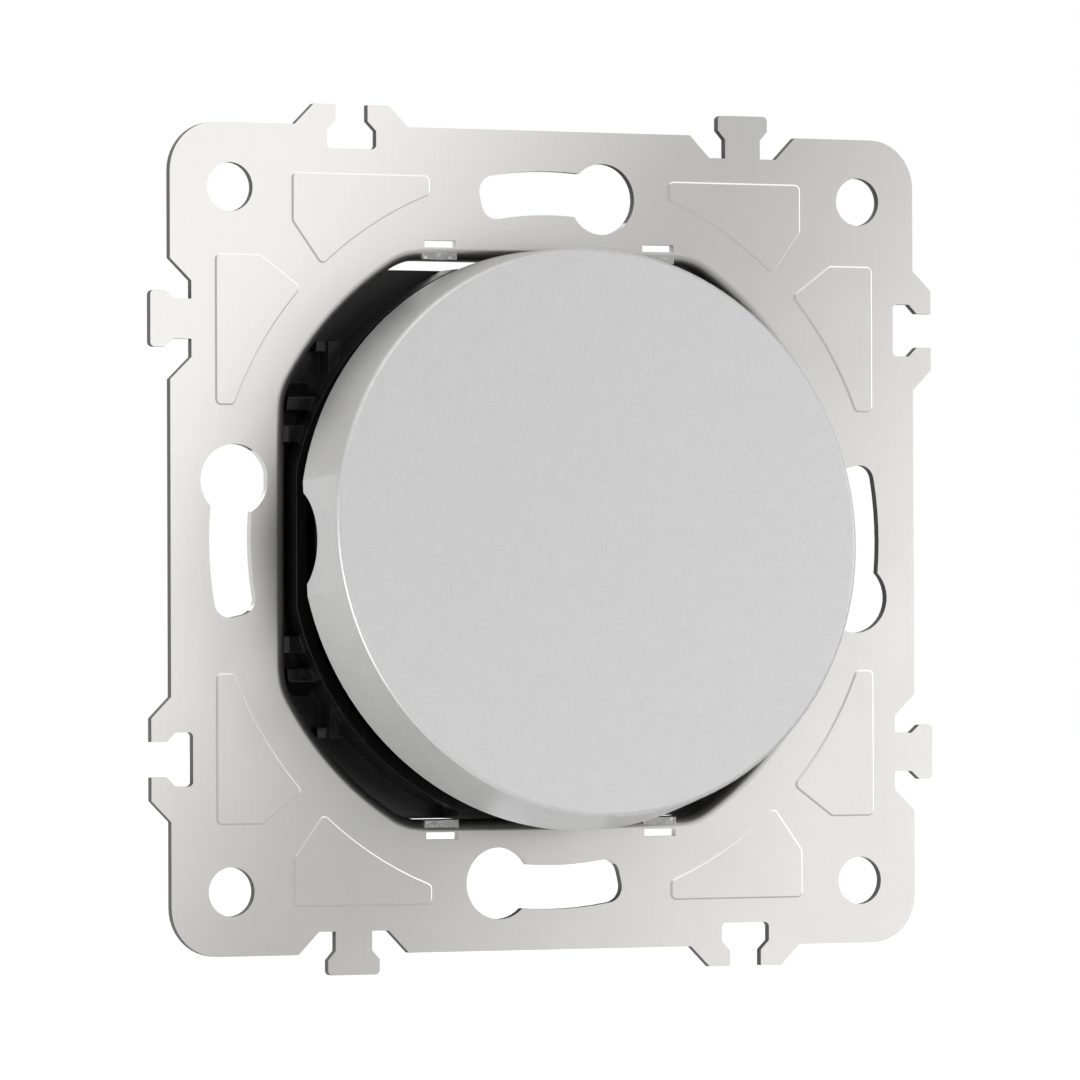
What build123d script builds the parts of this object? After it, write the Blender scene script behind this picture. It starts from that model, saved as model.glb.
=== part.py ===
from build123d import *
import os
from math import asin, cos, degrees, radians, sin, sqrt

# Intermediate light switch mechanism, in millimetres.
# X runs to the right, Z up, and the front faces -Y.
# The origin is the centre of the mounting plate's back face.

# Mounting plate
PLATE_CORNER_R = 4.2
SHEET = 0.8
SCREW_INSET = 5.5
SCREW_HOLE_R = 2.1

# Keyholes for wall box screws, on one circle
KEYHOLE_CIRCLE_R = 30.1
KEYHOLE_ROUND_R = 3.1
KEYHOLE_SLOT_W = 3.8
KEYHOLE_ROUND_ANGLE = 9.6
KEYHOLE_SLOT_ANGLE = 12.6
KEYHOLE_END_R = 1.4
KEYHOLE_MARGIN = 2.3

# Couplers that lock neighbouring plates together
COUPLER_OFFSET = 18.7
TONGUE_REACH = 1.8
TONGUE_HEAD_W = 4.8
TONGUE_HEAD_H = 1.3
TONGUE_NECK_W = 3.4
RELIEF_DEPTH = 1.95
RELIEF_FLOOR_W = 6.5
RELIEF_MOUTH_W = 10.3
SOCKET_W = 4.6
SOCKET_MOUTH_W = 3.0
SOCKET_DEPTH = 2.0
SOCKET_LIP_H = 1.4
HORN_TIP_W = 7.0
HORN_ROOT_W = 10.6
COUPLER_CORNER_R = 0.4
COUPLER_SLOPE = 0.8

# Embossed panels
PANEL_HEIGHT = 0.15
PANEL_SLOPE = 0.13
PANEL_MARGIN = 4.1
PANEL_SIDE_MARGIN = 11.2
PANEL_NEAR = 11.4
PANEL_DEPTH = 8.3
PANEL_SIDE_H = 4.2
PANEL_SLANT_W = 3.0
PANEL_ARC_GAP = 3.1
PANEL_CORNER_R = 0.7
PANEL_CORNER_SHARE = 0.3

# Opening and its drawn collar
OPENING_HALF_W = 24.75
OPENING_HALF_H = 24.1
OPENING_R = 27.6
OPENING_BLEND_R = 5.0
COLLAR_BEND_R = 1.1
COLLAR_DEPTH = 2.5
CATCH_OFFSET = 10.4
CATCH_W = 3.0
CATCH_WINDOW_H = 0.6
CATCH_REACH = 1.0
CATCH_SPREAD = 0.1
CATCH_SET = 0.1

# Rocker
ROCK_HALF_ANGLE = 5.5
PRESS_GAP = 0.19
CAP_REAR_R = 25.18
CAP_TAPER = 0.72
CAP_DEPTH = 6.7
CAP_WALL = 1.5
CAP_FACE_T = 1.4
CAP_EDGE_R = 0.35
CAP_NOTCH_HALF_W = 3.9
CAP_NOTCH_DEPTH = 2.1
CAP_FLAT_DEPTH = 0.48
FLANGE_INSET = 1.88
FLANGE_T = 1.0
FLANGE_GAP = 0.3
SPIGOT_WALL = 1.2
SPIGOT_H = 3.2
FIT_GAP = 0.15
CLIP_INSET = 6.58
CLIP_W = 5.0
CLIP_T = 1.2
CLIP_NOSE = 0.6

# Pivot ears and trunnions
EAR_INSET = 5.78
EAR_T = 2.0
EAR_WALL = 1.4
TRUNNION_R = 1.5
RUNNING_FIT = 0.05
CHEEK_T = 1.6
CHEEK_GAP = 0.4
WINDOW_GAP = 0.6

# Plungers, their springs and the tubes that guide them, measured from the pivot
POLE_OFFSET = 4.3
TIP_DISTANCE = 17.5
TIP_R = 1.0
PLUNGER_R = 1.9
PLUNGER_BACK = 9.4
PLUNGER_SHOULDER = 15.0
PLUNGER_NIB_H = 1.6
TUBE_WALL = 1.0
TUBE_REACH = 13.4
SPRING_SEAT = 3.0
SPRING_R = 1.5
SPRING_WIRE_R = 0.2
SPRING_PITCH = 1.4

# Seesaw contacts
TIP_GAP = 0.05
BLADE_T = 0.8
BLADE_W = 4.2
BLADE_ARM = 9.6
BLADE_TILT = 5.0
STUD_ARM = 7.8
STUD_R = 1.5
STUD_T = 0.8
STUD_SHANK_R = 0.7
RIVET_GAP = 0.03
CONTACT_GAP = 0.1

# Terminals
STRIP_T = 0.8
STRIP_W = 2.4
RIDGE_H = 0.8
RIDGE_W = 1.6
LINK_STEP = 1.9
TERMINAL_INSET = 6.8
BAR_W = 8.4
BAR_FRONT_Y = 8.0
TERMINAL_SCREW_Y = 12.2
SCREW_R = 1.75
SCREW_LENGTH = 6.2
SCREW_HEAD_R = 2.9
SCREW_HEAD_H = 1.9
SCREW_HEAD_CHAMFER = 0.2
SCREW_SLOT_W = 0.9
SCREW_SLOT_DEPTH = 0.9
CLAMP_T = 1.0
CLAMP_DEPTH = 5.0
CLAMP_SEAT_GAP = 0.2
WIRE_HOLE_R = 1.7
WIRE_OFFSET = 2.7
ACCESS_GAP = 0.3

# Moulded housing and bearing frame
BODY_HALF_W = 16.6
BODY_HALF_H = 23.3
BODY_CORNER_R = 2.5
BODY_REAR_BEVEL = 0.8
BODY_DEPTH = 18.4
TOP_WALL = 1.2
SIDE_WALL = 1.55
CHAMBER_GAP = 1.8
SLOT_GAP = 0.05
SHELF_T = 1.2
SHELF_R = 28.4
SHOULDER_HALF_W = 25.1
SHOULDER_BEVEL = 0.5
RING_INSET = 0.08
RING_SIDE_GAP = 0.35
RING_WALL = 1.0
RING_FRONT_Y = -1.9
LEDGE_FRONT_Y = -0.3
LEDGE_REACH = 2.8
LEDGE_LOW = 11.05
LEDGE_H = 1.1
LEDGE_SLOPE_H = 1.3
POST_X = 19.6
POST_T = 1.1
POST_LOW = 13.6
POST_HIGH = 17.0
FOOT_W = 0.9
FOOT_H = 0.9
FOOT_FRONT_Y = 0.3
HOOK_Z = 9.0
HOOK_H = 1.4
HOOK_W = 1.6
HOOK_TIP = 0.45
HOOK_TIP_Y = -0.5
HOOK_FRONT_Y = -0.7
HOOK_SEAT_Y = -0.1
ARM_W = 7.0
ARM_T = 1.2
ARM_LENGTH = 7.5
ARM_END = 1.2
ARM_WINDOW_W = 4.0
ARM_WINDOW_H = 2.2
LUG_REACH = 1.0
LATCH_GAP = 0.1

# How far a cut, or a block that joins another, runs past a face
OVERCUT = 1.0

QUARTERS = (0, -90, -180, -270)
SIDES = (-1, 1)
SIDE_NAMES = {-1: "left", 1: "right"}
LEVEL_NAMES = {-1: "lower", 1: "upper"}

# Widths and heights that follow from the sizes above
PLATE_SIZE = 2 * (KEYHOLE_CIRCLE_R + KEYHOLE_ROUND_R + KEYHOLE_MARGIN)
SCREW_PITCH = PLATE_SIZE - 2 * SCREW_INSET
PANEL_OUTER = PLATE_SIZE / 2 - PANEL_MARGIN
PANEL_FAR = PLATE_SIZE / 2 - PANEL_SIDE_MARGIN
CAP_FRONT_R = CAP_REAR_R - CAP_TAPER
FLANGE_R = CAP_REAR_R - FLANGE_INSET
FLANGE_HALF_H = BODY_HALF_H - RING_WALL - 2 * FIT_GAP
RING_R = CAP_REAR_R - RING_INSET
CLIP_Z = CAP_REAR_R - CLIP_INSET
EAR_X = CAP_REAR_R - EAR_INSET
TERMINAL_X = BODY_HALF_W - SIDE_WALL - SLOT_GAP - BAR_W / 2
TERMINAL_Z = BODY_HALF_H - TERMINAL_INSET
POLE_X = TERMINAL_X - POLE_OFFSET
CHAMBER_HALF_H = BLADE_ARM + CHAMBER_GAP

# Depths that follow.
# The pivot stands off so far that the cap's pressed edge stops just short of the ring.
PIVOT_Y = RING_FRONT_Y - PRESS_GAP - CAP_REAR_R * sin(radians(ROCK_HALF_ANGLE))
COLLAR_REAR_Y = COLLAR_DEPTH - SHEET
SHELF_REAR_Y = COLLAR_REAR_Y + SHELF_T
BODY_REAR_Y = SHELF_REAR_Y + BODY_DEPTH
CAP_FACE_Y = PIVOT_Y - CAP_DEPTH
FLANGE_FRONT_Y = PIVOT_Y + FLANGE_GAP
FLANGE_REAR_Y = FLANGE_FRONT_Y + FLANGE_T
CAP_INNER_Y = CAP_FACE_Y + CAP_FACE_T
BLADE_FRONT_Y = PIVOT_Y + TIP_DISTANCE + TIP_GAP
BLADE_REAR_Y = BLADE_FRONT_Y + BLADE_T
FEED_FRONT_Y = BLADE_REAR_Y + TIP_GAP + RIDGE_H
FEED_REAR_Y = FEED_FRONT_Y + STRIP_T
STUD_SWING = STUD_T * cos(radians(BLADE_TILT)) + (STUD_ARM + STUD_R) * sin(radians(BLADE_TILT))
FIXED_FACE_Y = BLADE_REAR_Y + STUD_SWING + CONTACT_GAP
LINK_FRONT_Y = FIXED_FACE_Y + STUD_T
LINK_REAR_Y = LINK_FRONT_Y + STRIP_T
CLAMP_LOW_Z = TERMINAL_Z + CLAMP_SEAT_GAP
HEAD_LOW_Z = CLAMP_LOW_Z + CLAMP_T
TUBE_OUTER_R = PLUNGER_R + RUNNING_FIT + TUBE_WALL
EAR_HALF_W = TRUNNION_R + RUNNING_FIT + EAR_WALL
PIVOT_AXIS = Axis((0, PIVOT_Y, 0), (1, 0, 0))
BLADE_AXIS = Axis((0, BLADE_REAR_Y, 0), (1, 0, 0))


# Helpers

def prism(outline, front_y, back_y):
    """Solid between two depths of an outline drawn in X and Z."""
    return extrude(Plane.XZ.offset(-back_y) * outline, amount=back_y - front_y)


def block(x0, x1, y0, y1, z0, z1):
    """Box between two corners."""
    middle = Pos((x0 + x1) / 2, (y0 + y1) / 2, (z0 + z1) / 2)
    return middle * Box(abs(x1 - x0), abs(y1 - y0), abs(z1 - z0))


def rod_y(radius, x, z, y0, y1):
    """Round rod along Y."""
    return Pos(x, (y0 + y1) / 2, z) * Rot(90, 0, 0) * Cylinder(radius, y1 - y0)


def rod_x(radius, x0, x1, y, z):
    """Round rod along X."""
    return Pos((x0 + x1) / 2, y, z) * Rot(0, 90, 0) * Cylinder(radius, abs(x1 - x0))


def rod_z(radius, x, y, z0, z1):
    """Round rod along Z."""
    return Pos(x, y, (z0 + z1) / 2) * Cylinder(radius, abs(z1 - z0))


def polygon(*points):
    """Outline through points in their given places."""
    return make_face(Polyline(*points, close=True))


def at_rocker_rest(shape):
    """The rocker's piece turned to its resting side."""
    return shape.rotate(PIVOT_AXIS, -ROCK_HALF_ANGLE)


def save(name, shape):
    """Write one node."""
    export_step(shape, f"parts/{name}.step")


# Mounting plate

def opening_outline(grow=0.0):
    """Opening: a circle cut by four flats, with softened junctions."""
    width = 2 * (OPENING_HALF_W + grow)
    height = 2 * (OPENING_HALF_H + grow)
    outline = Circle(OPENING_R + grow) & Rectangle(width, height)
    return fillet(outline.vertices(), OPENING_BLEND_R + grow)


def tongue():
    """T-shaped tongue in its relief, drawn at the top edge."""
    edge = PLATE_SIZE / 2
    floor = edge - RELIEF_DEPTH
    tip = edge + TONGUE_REACH
    mouth = RELIEF_MOUTH_W / 2
    flat = RELIEF_FLOOR_W / 2
    neck = TONGUE_NECK_W / 2
    head = TONGUE_HEAD_W / 2
    relief = polygon(
        (-mouth, edge), (-flat, floor), (flat, floor), (mouth, edge), (mouth, tip), (-mouth, tip),
    )
    shoulder = tip - TONGUE_HEAD_H
    tee = polygon(
        (-neck, floor - OVERCUT), (neck, floor - OVERCUT), (neck, shoulder - COUPLER_SLOPE), (head, shoulder),
        (head, tip), (-head, tip), (-head, shoulder), (-neck, shoulder - COUPLER_SLOPE),
    )
    rounded = fillet(tee.vertices().group_by(Axis.Y)[-1], COUPLER_CORNER_R)
    return Pos(COUPLER_OFFSET, 0) * relief, Pos(COUPLER_OFFSET, 0) * rounded


def socket():
    """Two horns round a socket that takes a neighbour's tongue, drawn at the top edge."""
    edge = PLATE_SIZE / 2
    tip = edge + TONGUE_REACH
    floor = edge - SOCKET_DEPTH
    half = SOCKET_W / 2
    mouth = SOCKET_MOUTH_W / 2
    horns = polygon(
        (-HORN_ROOT_W / 2, edge - OVERCUT), (-HORN_ROOT_W / 2, edge), (-HORN_TIP_W / 2, tip),
        (HORN_TIP_W / 2, tip), (HORN_ROOT_W / 2, edge), (HORN_ROOT_W / 2, edge - OVERCUT),
    )
    inner = tip - SOCKET_LIP_H
    void = polygon(
        (-half, floor), (half, floor), (half, inner - COUPLER_SLOPE), (mouth, inner), (mouth, tip + OVERCUT),
        (-mouth, tip + OVERCUT), (-mouth, inner), (-half, inner - COUPLER_SLOPE),
    )
    void = fillet(void.vertices().group_by(Axis.Y)[0], COUPLER_CORNER_R)
    return Pos(-COUPLER_OFFSET, 0) * horns, Pos(-COUPLER_OFFSET, 0) * void


def keyhole():
    """Keyhole at the top: a round entry and a slot that follows the screw circle."""
    inner_r = KEYHOLE_CIRCLE_R - KEYHOLE_SLOT_W / 2
    outer_r = KEYHOLE_CIRCLE_R + KEYHOLE_SLOT_W / 2
    start = radians(90 - KEYHOLE_ROUND_ANGLE)
    end = radians(90 + KEYHOLE_SLOT_ANGLE)
    far = 2 * KEYHOLE_CIRCLE_R
    wedge = polygon((0, 0), (far * cos(start), far * sin(start)), (far * cos(end), far * sin(end)))
    slot = (Circle(outer_r) - Circle(inner_r)) & wedge
    slot = fillet(slot.vertices().sort_by(Axis.X)[:2], KEYHOLE_END_R)
    entry = Pos(KEYHOLE_CIRCLE_R * cos(start), KEYHOLE_CIRCLE_R * sin(start)) * Circle(KEYHOLE_ROUND_R)
    return slot + entry


def plate_outline():
    """Flat outline of the plate with couplers and holes."""
    outline = RectangleRounded(PLATE_SIZE, PLATE_SIZE, PLATE_CORNER_R)
    relief, tee = tongue()
    horns, void = socket()
    for turn in QUARTERS:
        outline = outline - Rot(0, 0, turn) * relief
        outline = outline + Rot(0, 0, turn) * tee + Rot(0, 0, turn) * horns
        outline = outline - Rot(0, 0, turn) * void - Rot(0, 0, turn) * keyhole()
    for x in SIDES:
        for z in SIDES:
            outline = outline - Pos(x * SCREW_PITCH / 2, z * SCREW_PITCH / 2) * Circle(SCREW_HOLE_R)
    return outline


def panel_outline():
    """One embossed panel, right of the top keyhole, beside the opening's arc."""
    floor = PANEL_OUTER - PANEL_DEPTH
    wedge = polygon(
        (PANEL_NEAR, PANEL_OUTER), (PANEL_FAR, PANEL_OUTER), (PANEL_FAR, PANEL_OUTER - PANEL_SIDE_H),
        (PANEL_FAR - PANEL_SLANT_W, floor), (PANEL_NEAR, floor),
    )
    panel = wedge - Circle(OPENING_R + COLLAR_BEND_R + PANEL_ARC_GAP)
    shortest = min(edge.length for edge in panel.edges())
    return fillet(panel.vertices(), min(PANEL_CORNER_R, shortest * PANEL_CORNER_SHARE))


def panels():
    """All eight embossed panels: two at each corner, mirrored about its diagonal."""
    one = panel_outline()
    pair = one + mirror(one, Plane((0, 0, 0), z_dir=(1, -1, 0)))
    outline = pair
    for turn in QUARTERS[1:]:
        outline = outline + Rot(0, 0, turn) * pair
    return outline


def catches():
    """Cuts above the four lanced catches, and the catches bent into the opening."""
    tabs = []
    cuts = []
    for x in SIDES:
        for z in SIDES:
            x0 = x * CATCH_OFFSET - CATCH_W / 2
            x1 = x * CATCH_OFFSET + CATCH_W / 2
            edge = OPENING_HALF_H + COLLAR_BEND_R
            low = edge - CATCH_REACH
            high = edge + CATCH_WINDOW_H
            cuts.append(block(x0, x1, -SHEET - OVERCUT, COLLAR_DEPTH, z * edge, z * high))
            x0 = x0 - CATCH_SPREAD
            x1 = x1 + CATCH_SPREAD
            tabs.append(block(x0, x1, CATCH_SET - SHEET, SHEET / 2, z * low, z * edge))
    return cuts, tabs


def drawn_collar():
    """Rim of the opening: sheet drawn backwards over a rounded bend."""
    rim = prism(opening_outline(COLLAR_BEND_R + SHEET), -SHEET, 0)
    rim = rim + prism(opening_outline(SHEET), -SHEET, COLLAR_REAR_Y)
    rim = rim - prism(opening_outline(), -SHEET - OVERCUT, COLLAR_REAR_Y + OVERCUT)
    front = rim.faces().sort_by(Axis.Y)[0]
    return fillet(front.inner_wires()[0].edges(), COLLAR_BEND_R)


def raised_panels():
    """Front of the embossed panels, with sloped edges."""
    raised = prism(panels(), -SHEET - PANEL_HEIGHT, -SHEET)
    front = raised.faces().group_by(Axis.Y)[0]
    return chamfer(front.edges(), PANEL_SLOPE)


def mounting_strap():
    """Stamped and drawn steel plate."""
    hole = opening_outline(COLLAR_BEND_R + SHEET / 2)
    strap = prism(plate_outline() - hole, -SHEET, 0) + drawn_collar()
    strap = strap + raised_panels() - prism(panels(), -PANEL_HEIGHT, 0)
    cuts, tabs = catches()
    for cut in cuts:
        strap = strap - cut
    for tab in tabs:
        strap = strap + tab
    return strap


# Rocker

def cap_flat(side):
    """Wedge that planes a shallow flat on one side of the cap, along its taper."""
    rear = CAP_REAR_R - CAP_FLAT_DEPTH
    front = CAP_FRONT_R - CAP_FLAT_DEPTH
    outer = CAP_REAR_R + CAP_WALL
    start = CAP_FACE_Y + 2 * CAP_EDGE_R
    slope = (rear - front) / CAP_DEPTH
    inner = front + slope * 2 * CAP_EDGE_R
    section = polygon((inner, start), (outer, start), (outer, PIVOT_Y), (rear, PIVOT_Y))
    wedge = extrude(section, amount=CAP_REAR_R, both=True)
    return wedge if side > 0 else mirror(wedge, Plane.YZ)


def cap_notch(side):
    """Round-bottomed notch in the cap's rear edge, beside the pivot."""
    radius = (CAP_NOTCH_HALF_W ** 2 + CAP_NOTCH_DEPTH ** 2) / (2 * CAP_NOTCH_DEPTH)
    y = PIVOT_Y - CAP_NOTCH_DEPTH + radius
    return rod_x(radius, side * CAP_REAR_R / 2, side * (CAP_REAR_R + CAP_WALL), y, 0)


def clip(z_side):
    """Clip on the cap that passes the flange and hooks behind it."""
    z0 = CLIP_Z - CLIP_T / 2
    z1 = CLIP_Z + CLIP_T / 2
    tip = FLANGE_REAR_Y + FIT_GAP + CLIP_T
    hook = polygon(
        (CAP_INNER_Y, z0), (tip, z0), (tip, z1), (FLANGE_REAR_Y + FIT_GAP, z1 + CLIP_NOSE),
        (FLANGE_REAR_Y + FIT_GAP, z1), (CAP_INNER_Y, z1),
    )
    solid = extrude(Plane.YZ * hook, amount=CLIP_W / 2, both=True)
    return solid if z_side > 0 else mirror(solid, Plane.XY)


def rocker_cap():
    """Round button: tapered skirt, flat face, side flats, notches and clips."""
    section = polygon((0, CAP_FACE_Y), (CAP_FRONT_R, CAP_FACE_Y), (CAP_REAR_R, PIVOT_Y), (0, PIVOT_Y))
    core = polygon(
        (0, CAP_INNER_Y), (CAP_FRONT_R - CAP_WALL, CAP_INNER_Y), (CAP_REAR_R - CAP_WALL, PIVOT_Y),
        (CAP_REAR_R - CAP_WALL, PIVOT_Y + CAP_WALL), (0, PIVOT_Y + CAP_WALL),
    )
    shell = revolve(section, Axis.Y)
    shell = fillet(shell.faces().sort_by(Axis.Y)[0].edges(), CAP_EDGE_R)
    for side in SIDES:
        shell = shell - cap_flat(side)
    shell = shell - revolve(core, Axis.Y)
    for side in SIDES:
        shell = shell - cap_notch(side) + clip(side)
    return shell


def trunnion(side):
    """Cheek on the carrier with its pivot pin."""
    inner = EAR_X - EAR_T / 2 - CHEEK_GAP - CHEEK_T
    outer = inner + CHEEK_T
    half = TRUNNION_R + EAR_WALL
    cheek = block(side * inner, side * outer, PIVOT_Y, FLANGE_REAR_Y, -half, half)
    cheek = cheek + rod_x(half, side * inner, side * outer, PIVOT_Y, 0)
    pin = rod_x(TRUNNION_R, side * inner, side * (EAR_X + EAR_T / 2 - FIT_GAP), PIVOT_Y, 0)
    return cheek + pin


def tube(side):
    """Plunger guide on the carrier, with its bore left closed at the spring seat."""
    outer = rod_y(TUBE_OUTER_R, side * POLE_X, 0, FLANGE_FRONT_Y, PIVOT_Y + TUBE_REACH)
    return outer - tube_bore(side)


def tube_bore(side):
    """Bore for the spring and the plunger."""
    radius = PLUNGER_R + RUNNING_FIT
    return rod_y(radius, side * POLE_X, 0, PIVOT_Y + SPRING_SEAT, PIVOT_Y + TUBE_REACH + OVERCUT)


def rocker_carrier():
    """Moulding under the cap: flange, spigot, trunnions and plunger tubes."""
    outline = Circle(FLANGE_R) & Rectangle(2 * FLANGE_R, 2 * FLANGE_HALF_H)
    body = prism(outline, FLANGE_FRONT_Y, FLANGE_REAR_Y)
    spigot_r = CAP_FRONT_R - CAP_WALL - FIT_GAP
    ring = Circle(spigot_r) - Circle(spigot_r - SPIGOT_WALL)
    body = body + prism(ring, FLANGE_FRONT_Y - SPIGOT_H, FLANGE_FRONT_Y)
    for side in SIDES:
        window = 2 * (EAR_HALF_W + WINDOW_GAP)
        ear_gap = Pos(side * EAR_X, 0) * Rectangle(EAR_T + 2 * CHEEK_GAP, window)
        body = body - prism(ear_gap, FLANGE_FRONT_Y - OVERCUT, FLANGE_REAR_Y + OVERCUT)
        slot_z = side * (CLIP_Z + CLIP_NOSE / 2)
        slot = Pos(0, slot_z) * Rectangle(CLIP_W + 2 * FIT_GAP, CLIP_T + CLIP_NOSE + 2 * FIT_GAP)
        body = body - prism(slot, FLANGE_FRONT_Y - OVERCUT, FLANGE_REAR_Y + OVERCUT)
        body = body + trunnion(side) + tube(side)
    return body


def plunger(side):
    """Nib that presses the seesaw contact."""
    tip = TIP_DISTANCE
    section = Polyline(
        (0, PLUNGER_BACK), (PLUNGER_R, PLUNGER_BACK), (PLUNGER_R, PLUNGER_SHOULDER),
        (TIP_R, tip - PLUNGER_NIB_H), (TIP_R, tip - TIP_R),
    )
    nose = RadiusArc((TIP_R, tip - TIP_R), (0, tip), -TIP_R)
    face = make_face([*section.edges(), nose, Line((0, tip), (0, PLUNGER_BACK))])
    return Pos(side * POLE_X, PIVOT_Y, 0) * revolve(face, Axis.Y)


def plunger_spring(side):
    """Compression spring between the tube's seat and the plunger."""
    start = SPRING_SEAT + SPRING_WIRE_R
    length = PLUNGER_BACK - SPRING_SEAT - 2 * SPRING_WIRE_R
    path = Helix(SPRING_PITCH, length, SPRING_R)
    wire = Plane(origin=path @ 0, z_dir=path % 0) * RegularPolygon(SPRING_WIRE_R, 6)
    coil = sweep(wire, path=path, is_frenet=True)
    return Pos(side * POLE_X, PIVOT_Y + start, 0) * Rot(-90, 0, 0) * coil


# Seesaw contacts

def rivet(x, z, face_y, through, toward):
    """Contact rivet: its head's face at face_y, pointing back for toward 1, and its shank through a strip."""
    base = face_y - toward * STUD_T
    end = base - toward * through
    tail = end - toward * STUD_T / 2
    head = rod_y(STUD_R, x, z, min(face_y, base), max(face_y, base))
    shank = rod_y(STUD_SHANK_R - RIVET_GAP, x, z, min(base, end), max(base, end))
    clench = rod_y(STUD_R - RIVET_GAP - STUD_T / 2, x, z, min(end, tail), max(end, tail))
    return head + shank + clench


def moving_contact(side):
    """Seesaw blade on its knife edge, tipped to its resting side."""
    outline = RectangleRounded(BLADE_W, 2 * BLADE_ARM, BLADE_W / 2 - RIVET_GAP)
    for level in SIDES:
        outline = outline - Pos(0, level * STUD_ARM) * Circle(STUD_SHANK_R)
    blade = Pos(side * POLE_X, 0, 0) * prism(outline, BLADE_FRONT_Y, BLADE_REAR_Y)
    return blade.rotate(BLADE_AXIS, BLADE_TILT)


def moving_studs(side):
    """Both contact rivets of one blade."""
    faces = BLADE_REAR_Y + STUD_T
    pair = [rivet(side * POLE_X, level * STUD_ARM, faces, BLADE_T, 1) for level in SIDES]
    return Compound([stud.rotate(BLADE_AXIS, BLADE_TILT) for stud in pair])


# Terminals

def terminal_bar(side, level, rear_y):
    """Bar of a terminal with its tapped hole, from the strip's bend forwards."""
    x = side * TERMINAL_X
    low = level * (TERMINAL_Z - STRIP_T)
    bar = block(x - BAR_W / 2, x + BAR_W / 2, BAR_FRONT_Y, rear_y, low, level * TERMINAL_Z)
    reach = TERMINAL_Z + OVERCUT
    return bar - rod_z(SCREW_R + RUNNING_FIT, x, TERMINAL_SCREW_Y, -reach, reach)


def feed_terminal(side):
    """Feed: knife edge under the blade, arm to the side, strip up to the terminal."""
    x = side * TERMINAL_X
    pole = side * POLE_X
    arm = block(pole - side * BLADE_W / 2, x, FEED_FRONT_Y, FEED_REAR_Y, -STRIP_W / 2, STRIP_W / 2)
    strip = block(x - STRIP_W / 2, x + STRIP_W / 2, FEED_FRONT_Y, FEED_REAR_Y, -STRIP_W / 2, TERMINAL_Z)
    edge = polygon(
        (FEED_FRONT_Y, -RIDGE_W / 2), (FEED_FRONT_Y - RIDGE_H, 0), (FEED_FRONT_Y, RIDGE_W / 2),
        (FEED_REAR_Y, RIDGE_W / 2), (FEED_REAR_Y, -RIDGE_W / 2),
    )
    ridge = Pos(pole, 0, 0) * extrude(Plane.YZ * edge, amount=BLADE_W / 2, both=True)
    return arm + strip + ridge + terminal_bar(side, 1, FEED_REAR_Y)


def diagonal(slope, front_y, back_y, reach=1.0):
    """Strip between two opposite studs, through the middle."""
    length = 2 * reach * sqrt(POLE_X ** 2 + STUD_ARM ** 2)
    angle = slope * degrees(asin(STUD_ARM / sqrt(POLE_X ** 2 + STUD_ARM ** 2)))
    return prism(Rot(0, 0, angle) * Rectangle(length, STRIP_W), front_y, back_y)


def cross_link(side):
    """Link from one side's lower stud to the other side's upper stud, with its terminal below.

    The left link lies flat. The right one dips behind it where they cross.
    """
    pole = side * POLE_X
    x = side * TERMINAL_X
    pad = 2 * STUD_R + STRIP_T
    link = None
    for sign in SIDES:
        square = Pos(sign * pole, -sign * STUD_ARM) * RectangleRounded(pad, pad, STRIP_T / 2)
        piece = prism(square, LINK_FRONT_Y, LINK_REAR_Y)
        link = piece if link is None else link + piece
    if side < 0:
        link = link + diagonal(1, LINK_FRONT_Y, LINK_REAR_Y)
    else:
        dip = LINK_FRONT_Y + LINK_STEP
        link = link + diagonal(-1, dip, dip + STRIP_T)
        for sign in SIDES:
            foot = Pos(sign * pole, -sign * STUD_ARM) * (Rectangle(pad, pad) - Circle(STUD_R))
            foot = foot & Pos(sign * pole, -sign * STUD_ARM) * Rectangle(pad, STRIP_W)
            link = link + prism(foot, LINK_REAR_Y, dip + STRIP_T)
    high = -STUD_ARM + pad / 2
    low = -STUD_ARM - pad / 2
    half = STRIP_W / 2
    strip = block(x - half, x + half, LINK_FRONT_Y, LINK_REAR_Y, -TERMINAL_Z, high)
    arm = block(pole, x + side * half, LINK_FRONT_Y, LINK_REAR_Y, low, high)
    link = link + strip + arm + terminal_bar(side, -1, LINK_REAR_Y)
    front = LINK_FRONT_Y - OVERCUT
    rear = LINK_REAR_Y + OVERCUT
    for sign in SIDES:
        link = link - rod_y(STUD_SHANK_R, sign * pole, -sign * STUD_ARM, front, rear)
    return link


def fixed_studs(side):
    """The two contact rivets of one cross link."""
    pole = side * POLE_X
    return Compound([rivet(sign * pole, -sign * STUD_ARM, FIXED_FACE_Y, STRIP_T, -1) for sign in SIDES])


def clamp_plate(side, level):
    """Pressure plate under a terminal screw's head."""
    half_w = BAR_W / 2 - ACCESS_GAP
    front = TERMINAL_SCREW_Y - CLAMP_DEPTH / 2
    x = side * TERMINAL_X
    rear = front + CLAMP_DEPTH
    plate = block(x - half_w, x + half_w, front, rear, level * CLAMP_LOW_Z, level * HEAD_LOW_Z)
    plate = fillet(plate.edges().filter_by(Axis.Z), CLAMP_T / 2)
    reach = HEAD_LOW_Z + OVERCUT
    return plate - rod_z(SCREW_R + RUNNING_FIT, x, TERMINAL_SCREW_Y, -reach, reach)


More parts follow.
